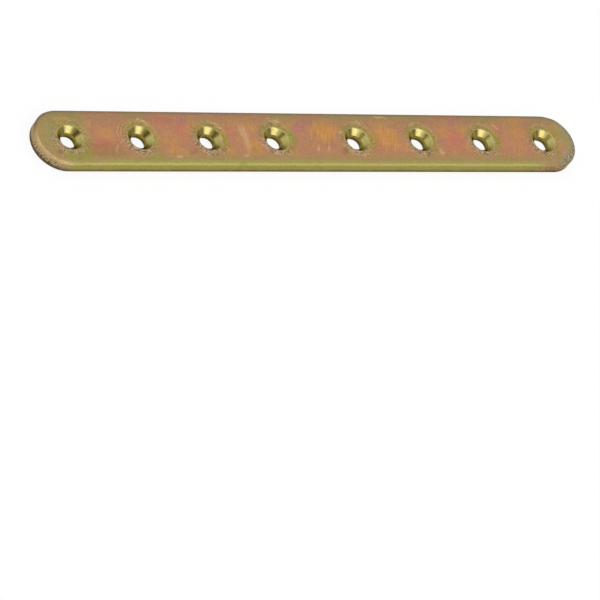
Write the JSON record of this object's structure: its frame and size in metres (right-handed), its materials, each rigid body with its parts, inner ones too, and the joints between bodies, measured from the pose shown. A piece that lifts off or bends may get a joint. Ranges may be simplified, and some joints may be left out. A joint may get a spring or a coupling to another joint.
{
  "type": "mending plate",
  "caption": "Flat straight steel plate with round ends and a row of countersunk screw holes, for joining or mending wood across a joint.",
  "frame": {"origin": "middle of the flat back face, which lies at Z = 0", "axes": "+X along the plate's length, +Y across its width, +Z through its thickness, out of the face with the countersinks"},
  "size_m": [0.2, 0.02, 0.004],
  "materials": {
    "yellow_zinc": "yellow passivated zinc plating on steel, satin, iridescent from pink through orange to olive"
  },
  "bodies": {
    "root": {"mending_plate": "yellow_zinc"}
  },
  "joints": []
}
